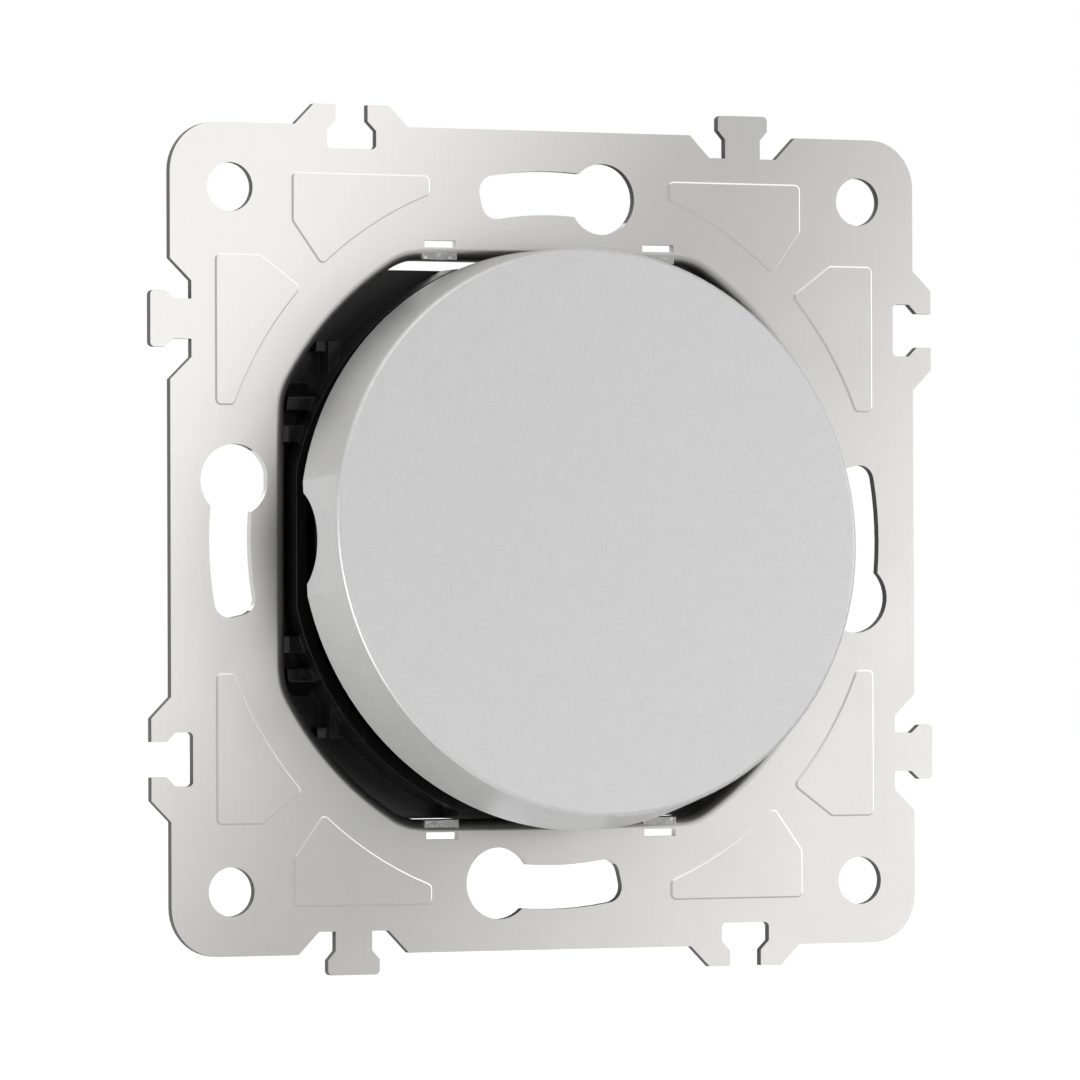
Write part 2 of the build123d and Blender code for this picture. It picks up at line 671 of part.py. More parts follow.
def terminal_screw(side, level):
    """Cheese-head screw of a terminal."""
    x = side * TERMINAL_X
    low = HEAD_LOW_Z + RUNNING_FIT
    top = low + SCREW_HEAD_H
    head = rod_z(SCREW_HEAD_R, x, TERMINAL_SCREW_Y, level * low, level * top)
    outer_face = head.faces().sort_by(Axis.Z)[-1 if level > 0 else 0]
    head = chamfer(outer_face.edges(), SCREW_HEAD_CHAMFER)
    slot_floor = level * (top - SCREW_SLOT_DEPTH)
    half = SCREW_SLOT_W / 2
    reach = SCREW_HEAD_R + OVERCUT
    front = TERMINAL_SCREW_Y - half
    slot_top = level * (top + OVERCUT)
    head = head - block(x - reach, x + reach, front, front + SCREW_SLOT_W, slot_floor, slot_top)
    shank = rod_z(SCREW_R, x, TERMINAL_SCREW_Y, level * low, level * (HEAD_LOW_Z - SCREW_LENGTH))
    return head + shank


# Mouldings

def shelf():
    """Shelf that the collar's rear edge stands on, with windows for the plunger tubes."""
    outline = Circle(SHELF_R) & Rectangle(2 * SHOULDER_HALF_W, 2 * BODY_HALF_H)
    outline = fillet(outline.vertices(), BODY_CORNER_R)
    plate = prism(outline, COLLAR_REAR_Y, SHELF_REAR_Y)
    plate = chamfer(plate.faces().sort_by(Axis.Y)[-1].edges(), SHOULDER_BEVEL)
    swing = (SHELF_REAR_Y - PIVOT_Y) * sin(radians(ROCK_HALF_ANGLE))
    window = Rectangle(2 * (TUBE_OUTER_R + WINDOW_GAP), 2 * (TUBE_OUTER_R + swing + WINDOW_GAP))
    front = COLLAR_REAR_Y - OVERCUT
    rear = SHELF_REAR_Y + OVERCUT
    for side in SIDES:
        plate = plate - prism(Pos(side * POLE_X, 0) * window, front, rear)
    return plate


def guard_ring():
    """Ring of the bearing frame under the cap's rear edge, cut off flat at the body's top and bottom."""
    flat = OPENING_HALF_W - RING_SIDE_GAP
    room = opening_outline(-FIT_GAP)
    outer = room & Circle(RING_R) & Rectangle(2 * flat, 2 * BODY_HALF_H)
    inner_flat = Rectangle(2 * (flat - RING_WALL), 2 * (BODY_HALF_H - RING_WALL))
    inner = Circle(RING_R - RING_WALL) & inner_flat
    return prism(outer - inner, RING_FRONT_Y, SHELF_REAR_Y)


def in_corner(solid, side, level):
    """The upper right corner's piece, kept inside the opening and mirrored to another corner."""
    solid = solid & prism(opening_outline(-FIT_GAP), RING_FRONT_Y, SHELF_REAR_Y)
    if side < 0:
        solid = mirror(solid, Plane.YZ)
    if level < 0:
        solid = mirror(solid, Plane.XY)
    return solid


def corner_ledge():
    """Ledge with a sloped back, between the guard ring and the collar."""
    high = LEDGE_LOW + LEDGE_H
    profile = polygon(
        (LEDGE_FRONT_Y, LEDGE_LOW), (LEDGE_FRONT_Y, high), (COLLAR_REAR_Y, high + LEDGE_SLOPE_H),
        (SHELF_REAR_Y, high + LEDGE_SLOPE_H), (SHELF_REAR_Y, LEDGE_LOW),
    )
    return Pos(OPENING_HALF_W - LEDGE_REACH, 0, 0) * extrude(Plane.YZ * profile, amount=LEDGE_REACH)


def corner_post():
    """Post with a lower foot at its outer side."""
    outer = POST_X + POST_T
    post = block(POST_X, outer, LEDGE_FRONT_Y, SHELF_REAR_Y, POST_LOW, POST_HIGH)
    foot_low = POST_HIGH - FOOT_H
    return post + block(outer, outer + FOOT_W, FOOT_FRONT_Y, SHELF_REAR_Y, foot_low, POST_HIGH)


def snap_hook(side, level):
    """Nose on the frame that catches over the collar's bend."""
    wall = OPENING_HALF_W - FIT_GAP
    root = wall - HOOK_W
    nose = polygon(
        (side * root, SHELF_REAR_Y), (side * root, HOOK_FRONT_Y), (side * wall, HOOK_FRONT_Y),
        (side * (wall + HOOK_TIP), HOOK_TIP_Y), (side * wall, HOOK_SEAT_Y), (side * wall, SHELF_REAR_Y),
    )
    return extrude(Pos(0, 0, level * HOOK_Z - HOOK_H / 2) * nose, amount=HOOK_H)


def bearing_ear(side):
    """Ear that carries one trunnion."""
    x0 = side * (EAR_X - EAR_T / 2)
    x1 = side * (EAR_X + EAR_T / 2)
    ear = block(x0, x1, PIVOT_Y, COLLAR_REAR_Y, -EAR_HALF_W, EAR_HALF_W)
    ear = ear + rod_x(EAR_HALF_W, x0, x1, PIVOT_Y, 0)
    return ear - rod_x(TRUNNION_R + RUNNING_FIT, x0 - side * OVERCUT, x1 + side * OVERCUT, PIVOT_Y, 0)


def latch_arm(side):
    """Arm beside the housing, with the window that snaps over its lug."""
    x0 = side * (BODY_HALF_W + LATCH_GAP)
    x1 = side * (BODY_HALF_W + LATCH_GAP + ARM_T)
    arm = block(x0, x1, COLLAR_REAR_Y, SHELF_REAR_Y + ARM_LENGTH, -ARM_W / 2, ARM_W / 2)
    rear = SHELF_REAR_Y + ARM_LENGTH - ARM_END
    half = ARM_WINDOW_W / 2
    return arm - block(x0 - side * OVERCUT, x1 + side * OVERCUT, rear - ARM_WINDOW_H, rear, -half, half)


def bearing_frame():
    """Front moulding: shelf behind the plate, guard ring, ears, ledges, posts, hooks and latch arms."""
    frame = shelf() + guard_ring()
    corner = corner_ledge() + corner_post()
    for side in SIDES:
        frame = frame + bearing_ear(side) + latch_arm(side)
        for level in SIDES:
            frame = frame + in_corner(corner, side, level) + snap_hook(side, level)
    return frame


def terminal_pocket(side, level, rear_y):
    """Pocket of one terminal, its strip slot, screw access and wire entries."""
    x = side * TERMINAL_X
    half = BAR_W / 2 + SLOT_GAP
    web = level * (TERMINAL_Z - STRIP_T - SLOT_GAP)
    top = level * (BODY_HALF_H - TOP_WALL)
    room = block(x - half, x + half, SHELF_REAR_Y - OVERCUT, rear_y, web, top)
    slot = STRIP_W / 2 + SCREW_R
    start = level * (CHAMBER_HALF_H - OVERCUT)
    room = room + block(x - slot, x + slot, SHELF_REAR_Y - OVERCUT, rear_y, start, web)
    room = room + rod_z(SCREW_HEAD_R + ACCESS_GAP, x, TERMINAL_SCREW_Y, web, level * (BODY_HALF_H + OVERCUT))
    for offset in (-WIRE_OFFSET, WIRE_OFFSET):
        z = level * (TERMINAL_Z + WIRE_HOLE_R + SLOT_GAP)
        room = room + rod_y(WIRE_HOLE_R, x + offset, z, TERMINAL_SCREW_Y, BODY_REAR_Y + OVERCUT)
    return room


def link_recess():
    """Room in the chamber's floor for the dipped link and the clenched ends of the fixed studs."""
    floor_y = LINK_REAR_Y + SLOT_GAP
    dip = LINK_FRONT_Y + LINK_STEP + STRIP_T + SLOT_GAP
    angle = degrees(asin(STUD_ARM / sqrt(POLE_X ** 2 + STUD_ARM ** 2)))
    length = 2 * sqrt(POLE_X ** 2 + STUD_ARM ** 2) + 2 * STUD_R
    recess = Rot(0, 0, -angle) * Rectangle(length, STRIP_W + 2 * SLOT_GAP)
    pad = 2 * STUD_R + STRIP_T + 2 * SLOT_GAP
    for side in SIDES:
        for level in SIDES:
            recess = recess + Pos(side * POLE_X, level * STUD_ARM) * Rectangle(pad, pad)
    return prism(recess, floor_y - OVERCUT, dip)


def base_housing():
    """Rear moulding: contact chamber, terminal pockets, strip supports and latch lugs."""
    outline = RectangleRounded(2 * BODY_HALF_W, 2 * BODY_HALF_H, BODY_CORNER_R)
    housing = prism(outline, SHELF_REAR_Y, BODY_REAR_Y)
    housing = chamfer(housing.faces().sort_by(Axis.Y)[-1].edges(), BODY_REAR_BEVEL)
    floor_y = LINK_REAR_Y + SLOT_GAP
    half = TERMINAL_X + STRIP_W / 2 + ACCESS_GAP
    chamber = block(-half, half, SHELF_REAR_Y - OVERCUT, floor_y, -CHAMBER_HALF_H, CHAMBER_HALF_H)
    housing = housing - chamber - link_recess()
    for side in SIDES:
        for level in SIDES:
            rear = FEED_REAR_Y if level > 0 else LINK_REAR_Y
            housing = housing - terminal_pocket(side, level, rear + SLOT_GAP)
        inner = side * (POLE_X - BLADE_W / 2)
        front = FEED_REAR_Y + SLOT_GAP
        support = block(inner, side * half, front, floor_y + OVERCUT, -STRIP_W / 2, STRIP_W / 2)
        housing = housing + support + latch_lug(side)
    return housing


def latch_lug(side):
    """Wedge on the housing that a latch arm snaps over."""
    window_rear = SHELF_REAR_Y + ARM_LENGTH - ARM_END
    front = window_rear - ARM_WINDOW_H + LATCH_GAP
    rear = window_rear - LATCH_GAP
    root = side * (BODY_HALF_W - TOP_WALL / 2)
    wall = side * BODY_HALF_W
    wedge = polygon((root, front), (wall + side * LUG_REACH, front), (wall, rear), (root, rear))
    half = ARM_WINDOW_W / 2 - LATCH_GAP
    return extrude(Pos(0, 0, -half) * wedge, amount=2 * half)


# Whole switch

def main():
    """Build and write every node."""
    os.makedirs("parts", exist_ok=True)
    save("mounting_strap", mounting_strap())
    save("bearing_frame", bearing_frame())
    save("base_housing", base_housing())
    save("rocker_cap", at_rocker_rest(rocker_cap()))
    save("rocker_carrier", at_rocker_rest(rocker_carrier()))
    for side, name in SIDE_NAMES.items():
        save(f"plunger_{name}", at_rocker_rest(plunger(side)))
        save(f"plunger_spring_{name}", at_rocker_rest(plunger_spring(side)))
        save(f"moving_contact_{name}", moving_contact(side))
        save(f"moving_studs_{name}", moving_studs(side))
        save(f"feed_terminal_{name}", feed_terminal(side))
        save(f"cross_link_{name}", cross_link(side))
        save(f"fixed_studs_{name}", fixed_studs(side))
        for level, height in LEVEL_NAMES.items():
            save(f"clamp_plate_{height}_{name}", clamp_plate(side, level))
            save(f"terminal_screw_{height}_{name}", terminal_screw(side, level))


main()
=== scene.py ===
"""Intermediate light switch mechanism on its mounting plate.

The front faces -Y, X runs to the right and Z up. Lengths are in millimetres and turn to metres through MM.
"""

from math import cos, radians, sin

import bpy
from mathutils import Matrix, Vector


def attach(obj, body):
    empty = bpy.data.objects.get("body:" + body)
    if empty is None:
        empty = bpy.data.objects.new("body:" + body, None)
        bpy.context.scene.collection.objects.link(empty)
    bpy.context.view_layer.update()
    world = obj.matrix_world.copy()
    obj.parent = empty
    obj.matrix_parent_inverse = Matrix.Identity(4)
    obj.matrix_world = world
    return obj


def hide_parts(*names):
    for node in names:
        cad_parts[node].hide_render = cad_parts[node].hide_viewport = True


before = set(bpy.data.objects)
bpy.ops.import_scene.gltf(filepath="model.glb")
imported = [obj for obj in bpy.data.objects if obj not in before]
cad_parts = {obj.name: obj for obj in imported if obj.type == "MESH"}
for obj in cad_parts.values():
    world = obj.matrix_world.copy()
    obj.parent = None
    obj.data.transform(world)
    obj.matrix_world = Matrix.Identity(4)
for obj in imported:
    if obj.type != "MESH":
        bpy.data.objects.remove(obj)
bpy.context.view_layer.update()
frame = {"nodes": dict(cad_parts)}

bl_info = {
    "name": "Intermediate Light Switch",
    "version": (1, 0, 0),
    "blender": (4, 5, 0),
    "location": "3D View > Sidebar > Switch",
    "description": "Models and finishes a two-pole cross-over switch on its stamped mounting plate",
    "category": "Object",
}

MM = 0.001

SIDES = {"left": -1, "right": 1}
LEVELS = {"lower": -1, "upper": 1}

# The camera, found from the four screw holes, the keyholes and the plate's corners in the photograph
LENS_MM = 243.92
SENSOR_MM = 36.0
CAMERA_DISTANCE = 634.82
CAMERA_AZIMUTH = -24.802
CAMERA_ELEVATION = -0.811
CAMERA_ROLL = -0.197
CAMERA_RIGHT = -0.944
CAMERA_UP = 0.007
PLATE_FRONT = -0.8

# Lanced catches on the collar's bend
CATCH_X = 10.4
CATCH_WIDTH = 3.2
CATCH_LOW = 24.12
CATCH_TOP = 25.19
CATCH_FRONT = -0.76
CATCH_BACK = -0.2
CATCH_LUMP = 0.5
CATCH_TEAR = 0.09

# A coined panel's slope starts this far above the plate, and its normals stay under this share of -Y
# These slope faces get the material with painted highlight and shade
PANEL_START = 0.003
PANEL_FLAT = 0.985

# The sheet's cut edge lies outside the collar and behind its rounded front, with normals nearly across Y
COLLAR_REACH = 28.8
EDGE_FRONT = -0.75
EDGE_LEAN = 0.3

# Lip under the bearing frame's shelf, just behind the collar
LIP_DROP = 0.74
SHELF_UNDERSIDE = -23.3
SHELF_FRONT = 1.7
SHELF_REACH = 1.0
SHELF_NEAR = 0.06

# How a CAD node's triangles are merged, in millimetres and degrees
MERGE_DISTANCE = 0.002
MERGE_ANGLE = 0.4

# Edges sharper than these angles in degrees are rounded, or stay crisp in the shading
BEVEL_ANGLE = 35
SOFT_ANGLE = 38
FRAME_SOFT_ANGLE = 20
CATCH_SOFT_ANGLE = 60


def linear(hex_colour):
    """Linear red, green and blue of an sRGB hex colour."""
    channels = [int(hex_colour[i:i + 2], 16) / 255 for i in (1, 3, 5)]
    return tuple(c / 12.92 if c <= 0.04045 else ((c + 0.055) / 1.055) ** 2.4 for c in channels)


# Settings

def colour_setting(name, description, hex_colour):
    """A colour that a user may change."""
    return bpy.props.FloatVectorProperty(
        name=name, description=description, subtype="COLOR", size=3, min=0, max=1,
        default=linear(hex_colour))


def length_setting(name, description, millimetres):
    """A length that a user may change."""
    return bpy.props.FloatProperty(
        name=name, description=description, subtype="DISTANCE", unit="LENGTH", min=0, precision=5,
        default=millimetres * MM)


class SwitchColours(bpy.types.PropertyGroup):
    """Colours of the switch's finishes."""
    plate: colour_setting("Plate", "Zinc plating of the stamped mounting plate", "#E3E2DF")
    cut_edge: colour_setting("Cut edge", "Sheared edge of the plate", "#5E5D5B")
    # Base colour of the panel slopes; their material paints highlight and shade on it by the way each slope
    # faces
    slope: colour_setting("Panel slope", "Slopes that coining burnished round the raised panels", "#C4C3BF")
    torn: colour_setting("Torn steel", "Faces that the lancing punch tore at the four catches", "#A3A3A2")
    lacquer: colour_setting("Lacquer", "Silver lacquer on the rocker's cap", "#CDCDCD")
    frame: colour_setting("Bearing frame", "Black moulding inside the plate's opening", "#121213")
    housing: colour_setting("Housing", "Black moulding behind the plate", "#101011")
    carrier: colour_setting("Carrier", "Black moulding under the rocker's cap", "#060607")
    acetal: colour_setting("Plungers", "Natural acetal", "#E6E3DA")
    brass: colour_setting("Brass", "Stamped strips and seesaw contacts", "#C9A45C")
    silver: colour_setting("Contacts", "Silver alloy of the contact rivets", "#D4D2CC")
    plated: colour_setting("Screws", "Zinc plating of screws and clamps", "#B9BBBE")
    spring: colour_setting("Springs", "Drawn spring wire", "#8F8F90")
    floor: colour_setting("Floor", "Floor under the switch", "#F2F2F2")


class SwitchSizes(bpy.types.PropertyGroup):
    """Small sizes of the switch's edges."""
    plate_edge: length_setting("Plate edge", "Rounding that stamping leaves on the plate's edges", 0.06)
    mould_edge: length_setting("Moulded edge", "Edge radius of the black mouldings", 0.12)
    floor_drop: length_setting("Floor height", "How far the floor lies below the pivot's height", 115.0)


# Helpers

def deselect_all():
    """Leave edit mode and deselect every object."""
    if bpy.context.object and bpy.context.object.mode != "OBJECT":
        bpy.ops.object.mode_set(mode="OBJECT")
    bpy.ops.object.select_all(action="DESELECT")


def select_only(piece):
    """Select this piece alone and make it active."""
    deselect_all()
    piece.select_set(True)
    bpy.context.view_layer.objects.active = piece


def select_faces(piece, test):
    """In edit mode, select the faces for which test holds."""
    bpy.ops.mesh.select_mode(type="FACE")
    bpy.ops.mesh.select_all(action="DESELECT")
    bpy.ops.object.mode_set(mode="OBJECT")
    for face in piece.data.polygons:
        face.select = bool(test(face))
    bpy.ops.object.mode_set(mode="EDIT")


def apply_modifier(piece, kind, **settings):
    """Add a modifier with its settings and apply it."""
    select_only(piece)
    modifier = piece.modifiers.new(kind.title(), kind)
    for name, value in settings.items():
        setattr(modifier, name, value)
    bpy.ops.object.modifier_apply(modifier=modifier.name)


def smooth(piece, angle):
    """Smooth shading that keeps edges sharper than the angle, with flats left flat."""
    select_only(piece)
    bpy.ops.object.shade_smooth_by_angle(angle=radians(angle))
    apply_modifier(piece, "WEIGHTED_NORMAL", keep_sharp=True, weight=50)


def place(piece):
    """Put the object's place, turn and size into its mesh."""
    select_only(piece)
    bpy.ops.object.transform_apply(location=True, rotation=True, scale=True)


def finish_piece(piece, name, body, nodes, materials):
    """Name a piece, give it its materials and tie it to its body and the nodes it stands for."""
    piece.name = name
    piece.data.name = name
    for material in materials:
        piece.data.materials.append(material)
    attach(piece, body)
    if nodes:
        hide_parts(*nodes)


def bench_copy(node, edge, segments=3, soft_angle=SOFT_ANGLE):
    """A merged copy of a node with its crisp edges rounded by the given width in metres."""
    source = frame["nodes"][node]
    piece = bpy.data.objects.new(f"{node}_finished", source.data.copy())
    bpy.context.scene.collection.objects.link(piece)
    piece.data.materials.clear()
    select_only(piece)
    bpy.ops.object.mode_set(mode="EDIT")
    bpy.ops.mesh.select_all(action="SELECT")
    bpy.ops.mesh.customdata_custom_splitnormals_clear()
    bpy.ops.mesh.remove_doubles(threshold=MERGE_DISTANCE * MM)
    bpy.ops.mesh.dissolve_limited(angle_limit=radians(MERGE_ANGLE), delimit={"SHARP"})
    bpy.ops.object.mode_set(mode="OBJECT")
    apply_modifier(
        piece, "BEVEL", width=edge, segments=segments, limit_method="ANGLE",
        angle_limit=radians(BEVEL_ANGLE), use_clamp_overlap=True, harden_normals=False)
    smooth(piece, soft_angle)
    return piece


def dress_node(node, material):
    """Give a CAD node its material in every slot."""
    slots = frame["nodes"][node].data.materials
    if not slots:
        slots.append(material)
    for index in range(len(slots)):
        slots[index] = material


# Materials

def add_node(tree, kind, settings=None, **inputs):
    """Add a shader node with its settings, and set or link its inputs.

    An input is given by its name, with underscores for spaces, or as n and its number.
    """
    node = tree.nodes.new(kind)
    for name, value in (settings or {}).items():
        setattr(node, name, value)
    for key, value in inputs.items():
        name = key.replace("_", " ")
        numbered = key[0] == "n" and key[1:].isdigit()
        socket = node.inputs[int(key[1:])] if numbered else node.inputs[name]
        if isinstance(value, bpy.types.NodeSocket):
            tree.links.new(value, socket)
        else:
            socket.default_value = value
    return node


def new_material(name):
    """An empty material with its tree, its shader and its object coordinates."""
    material = bpy.data.materials.new(name)
    material.use_nodes = True
    tree = material.node_tree
    tree.nodes.clear()
    shader = add_node(tree, "ShaderNodeBsdfPrincipled")
    add_node(tree, "ShaderNodeOutputMaterial", Surface=shader.outputs["BSDF"])
    place_node = add_node(tree, "ShaderNodeTexCoord")
    return material, tree, shader, place_node.outputs["Object"]


def set_ramp(ramp, *stops):
    """Give a colour ramp its stops, each a position and a grey level."""
    elements = ramp.color_ramp.elements
    while len(elements) < len(stops):
        elements.new(1)
    for element, (position, level) in zip(elements, stops):
        element.position = position
        element.color = (level, level, level, 1)


def varied_colour(tree, base, low, high, factor):
    """The base colour scaled between low and high by a factor."""
    dark = tuple(c * low for c in base)
    light = tuple(min(1, c * high) for c in base)
    mix = add_node(tree, "ShaderNodeMix", {"data_type": "RGBA"}, n0=factor, n6=(*dark, 1), n7=(*light, 1))
    return mix.outputs[2]


def zinc_plated_sheet(colour):
    """Cold-rolled steel sheet, stamped and zinc plated.

    A satin grey with faint rolling grain. Its brightness dips in one broad band of painted shade across the
    plate.
    """
    material, tree, shader, coords = new_material("zinc_sheet_with_painted_shade")
    grain_mm = 0.25
    stretched = add_node(tree, "ShaderNodeMapping", Vector=coords, Scale=(1, 1, 0.06))
    grain = add_node(
        tree, "ShaderNodeTexNoise", Vector=stretched.outputs[0], Scale=1 / (grain_mm * MM), Detail=2.0)
    bloom_mm = 9.0
    bloom = add_node(tree, "ShaderNodeTexNoise", Vector=coords, Scale=1 / (bloom_mm * MM), Detail=1.0)
    # Painted shade: a tone ramp along this direction darkens the plate in a broad band, standing in for
    # uneven light on the sheet
    painted_shade_across = (0.86, 0.0, -0.51)
    reach_mm = 45.0
    distance = add_node(
        tree, "ShaderNodeVectorMath", {"operation": "DOT_PRODUCT"}, n0=coords, n1=painted_shade_across)
    spread = add_node(
        tree, "ShaderNodeMapRange", Value=distance.outputs["Value"], n1=-reach_mm * MM, n2=reach_mm * MM)
    band = add_node(tree, "ShaderNodeValToRGB", Fac=spread.outputs[0])
    band.color_ramp.interpolation = "B_SPLINE"
    set_ramp(band, (0.04, 0.96), (0.18, 0.9), (0.37, 0.53), (0.52, 0.44), (0.82, 0.74))
    grained = varied_colour(tree, colour, 0.98, 1.02, grain.outputs[0])
    toned = add_node(
        tree, "ShaderNodeMix", {"data_type": "RGBA", "blend_type": "MULTIPLY"}, n0=1.0, n6=grained,
        n7=band.outputs["Color"])
    tree.links.new(toned.outputs[2], shader.inputs["Base Color"])
    rough = add_node(
        tree, "ShaderNodeMapRange", Value=bloom.outputs[0], n1=0.3, n2=0.7, n3=0.36, n4=0.42)
    tree.links.new(rough.outputs[0], shader.inputs["Roughness"])
    bump = add_node(tree, "ShaderNodeBump", Height=grain.outputs[0], Strength=0.05, Distance=0.01 * MM)
    tree.links.new(bump.outputs[0], shader.inputs["Normal"])
    shader.inputs["Metallic"].default_value = 1.0
    return material


def sheared_edge(colour):
    """The cut through the sheet: a dull, darker band of torn and burnished steel."""
    material, tree, shader, coords = new_material("sheared_steel_edge")
    tear_mm = 0.12
    across = add_node(tree, "ShaderNodeMapping", Vector=coords, Scale=(1, 0.25, 1))
    tear = add_node(
        tree, "ShaderNodeTexNoise", Vector=across.outputs[0], Scale=1 / (tear_mm * MM), Detail=3.0)
    tree.links.new(varied_colour(tree, colour, 0.85, 1.15, tear.outputs[0]), shader.inputs["Base Color"])
    bump = add_node(tree, "ShaderNodeBump", Height=tear.outputs[0], Strength=0.3, Distance=0.02 * MM)
    tree.links.new(bump.outputs[0], shader.inputs["Normal"])
    shader.inputs["Metallic"].default_value = 0.35
    shader.inputs["Roughness"].default_value = 0.7
    return material


def torn_steel(colour):
    """Steel torn and smeared by a lancing punch: mottled, rough and half bright."""
    material, tree, shader, coords = new_material("lanced_torn_steel")
    smear_mm = 0.35
    pulled = add_node(tree, "ShaderNodeMapping", Vector=coords, Scale=(1.6, 1, 0.5))
    smear = add_node(
        tree, "ShaderNodeTexNoise", Vector=pulled.outputs[0], Scale=1 / (smear_mm * MM), Detail=4.0)
    tree.links.new(varied_colour(tree, colour, 0.35, 1.5, smear.outputs[0]), shader.inputs["Base Color"])
    bump = add_node(tree, "ShaderNodeBump", Height=smear.outputs[0], Strength=0.6, Distance=0.08 * MM)
    tree.links.new(bump.outputs[0], shader.inputs["Normal"])
    shader.inputs["Metallic"].default_value = 0.7
    shader.inputs["Roughness"].default_value = 0.45
    return material


def coined_slope_painted_light(colour):
    """Steel of the coined panels' slopes: painted highlight where it faces up and right, painted shade
    elsewhere.

    The tones, and the shading normal's small lean from the plate's own, are chosen to match the photograph.
    """
    material, tree, shader, coords = new_material("coined_steel_painted_light")
    # Painted highlight and shade: the base colour is scaled by the way each slope faces, not lit by the
    # lamps
    painted_highlight_side = (0.5, 0.0, 0.87)
    painted_shade_level = 0.72
    painted_highlight_level = 1.6
    lean = 0.2
    plate_facing = (0.0, lean - 1.0, 0.0)
    streak_mm = 0.3
    streaks = add_node(tree, "ShaderNodeTexNoise", Vector=coords, Scale=1 / (streak_mm * MM), Detail=2.0)
    streaked = varied_colour(tree, colour, 0.95, 1.0, streaks.outputs[0])
    normal = add_node(tree, "ShaderNodeTexCoord").outputs["Normal"]
    facing = add_node(
        tree, "ShaderNodeVectorMath", {"operation": "DOT_PRODUCT"}, n0=normal, n1=painted_highlight_side)
    level = add_node(
        tree, "ShaderNodeMapRange", Value=facing.outputs["Value"], n1=-0.1, n2=0.5, n3=painted_shade_level,
        n4=painted_highlight_level)
    toned = add_node(
        tree, "ShaderNodeVectorMath", {"operation": "SCALE"}, n0=streaked, Scale=level.outputs[0])
    tree.links.new(toned.outputs[0], shader.inputs["Base Color"])
    leaning = add_node(
        tree, "ShaderNodeVectorMath", {"operation": "MULTIPLY_ADD"}, n0=normal, n1=(lean, lean, lean),
        n2=plate_facing)
    rolled = add_node(tree, "ShaderNodeVectorMath", {"operation": "NORMALIZE"}, n0=leaning.outputs[0])
    tree.links.new(rolled.outputs[0], shader.inputs["Normal"])
    shader.inputs["Metallic"].default_value = 1.0
    shader.inputs["Roughness"].default_value = 0.4
    return material


def silver_lacquer(colour):
    """Moulded ABS sprayed with silver metallic lacquer: fine flakes under a smooth satin film."""
    material, tree, shader, coords = new_material("silver_lacquered_abs")
    flake_mm = 0.14
    flakes = add_node(tree, "ShaderNodeTexVoronoi", Vector=coords, Scale=1 / (flake_mm * MM))
    drift_mm = 1.2
    drift = add_node(tree, "ShaderNodeTexNoise", Vector=coords, Scale=1 / (drift_mm * MM), Detail=4.0)
    tone = add_node(
        tree, "ShaderNodeMix", {"data_type": "FLOAT"}, n0=0.45, n2=flakes.outputs["Color"],
        n3=drift.outputs[0])
    tree.links.new(varied_colour(tree, colour, 0.93, 1.07, tone.outputs[0]), shader.inputs["Base Color"])
    bump = add_node(tree, "ShaderNodeBump", Height=drift.outputs[0], Strength=0.04, Distance=0.01 * MM)
    tree.links.new(bump.outputs[0], shader.inputs["Normal"])
    shader.inputs["Metallic"].default_value = 0.55
    shader.inputs["Roughness"].default_value = 0.36
    return material


def black_moulding(name, colour, roughness, texture_mm):
    """Injection-moulded black polycarbonate blend: a glossy skin with faint flow marks and fine scuffs."""
    material, tree, shader, coords = new_material(name)
    flow = add_node(tree, "ShaderNodeTexNoise", Vector=coords, Scale=1 / (texture_mm * MM), Detail=3.0)
    scuff_mm = 0.8
    turned = add_node(
        tree, "ShaderNodeMapping", Vector=coords, Rotation=(0.3, 0.5, 0.8), Scale=(1, 0.12, 0.3))
    scuff = add_node(
        tree, "ShaderNodeTexNoise", Vector=turned.outputs[0], Scale=1 / (scuff_mm * MM), Detail=5.0)
    marks = add_node(tree, "ShaderNodeValToRGB", Fac=scuff.outputs[0])
    set_ramp(marks, (0.62, 0.0), (0.78, 1.0))
    tree.links.new(varied_colour(tree, colour, 0.9, 1.8, marks.outputs[0]), shader.inputs["Base Color"])
    rough = add_node(
        tree, "ShaderNodeMapRange", Value=marks.outputs[0], n3=roughness, n4=roughness + 0.22)
    tree.links.new(rough.outputs[0], shader.inputs["Roughness"])
    bump = add_node(tree, "ShaderNodeBump", Height=flow.outputs[0], Strength=0.08, Distance=0.02 * MM)
    tree.links.new(bump.outputs[0], shader.inputs["Normal"])
    shader.inputs["Specular IOR Level"].default_value = 0.3
    return material


def natural_acetal(colour):
    """Moulded acetal in its natural milk white, waxy and a little translucent."""
    material, tree, shader, coords = new_material("moulded_natural_acetal")
    cloud_mm = 1.5
    cloud = add_node(tree, "ShaderNodeTexNoise", Vector=coords, Scale=1 / (cloud_mm * MM), Detail=2.0)
    tree.links.new(varied_colour(tree, colour, 0.95, 1.02, cloud.outputs[0]), shader.inputs["Base Color"])
    shader.inputs["Roughness"].default_value = 0.38
    shader.inputs["IOR"].default_value = 1.48
    shader.inputs["Subsurface Weight"].default_value = 0.15
    shader.inputs["Subsurface Radius"].default_value = (0.6 * MM, 0.5 * MM, 0.4 * MM)
    shader.inputs["Subsurface Scale"].default_value = 1.0
    return material


